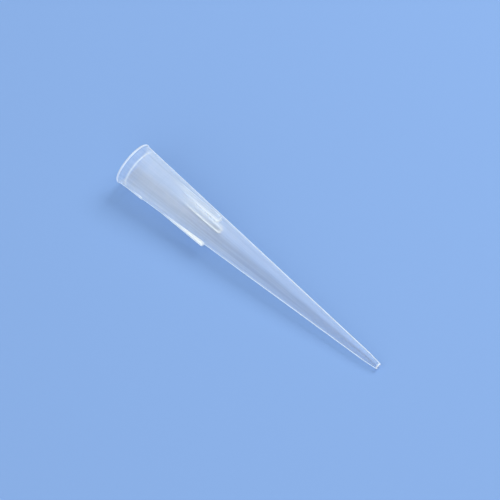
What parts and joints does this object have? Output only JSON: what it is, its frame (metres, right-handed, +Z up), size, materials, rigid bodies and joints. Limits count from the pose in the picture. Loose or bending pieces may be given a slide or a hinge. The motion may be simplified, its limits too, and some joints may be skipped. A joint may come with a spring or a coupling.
{
  "type": "pipette tip",
  "caption": "Slender conical pipette tip with a beaded thin-lipped mouth, rack ribs on the collar and a short tapered nose, lying on its side.",
  "frame": {"origin": "middle of the underside of the bounding box, on the surface that the tip lies on", "axes": "+X along the tip from its mouth to its small end, +Z up from the surface"},
  "size_m": [0.0512, 0.0074, 0.0075],
  "materials": {
    "natural_polypropylene": "uncoloured, milky and translucent, smooth from a polished mould"
  },
  "bodies": {
    "root": {"pipette_tip": "natural_polypropylene"}
  },
  "joints": []
}
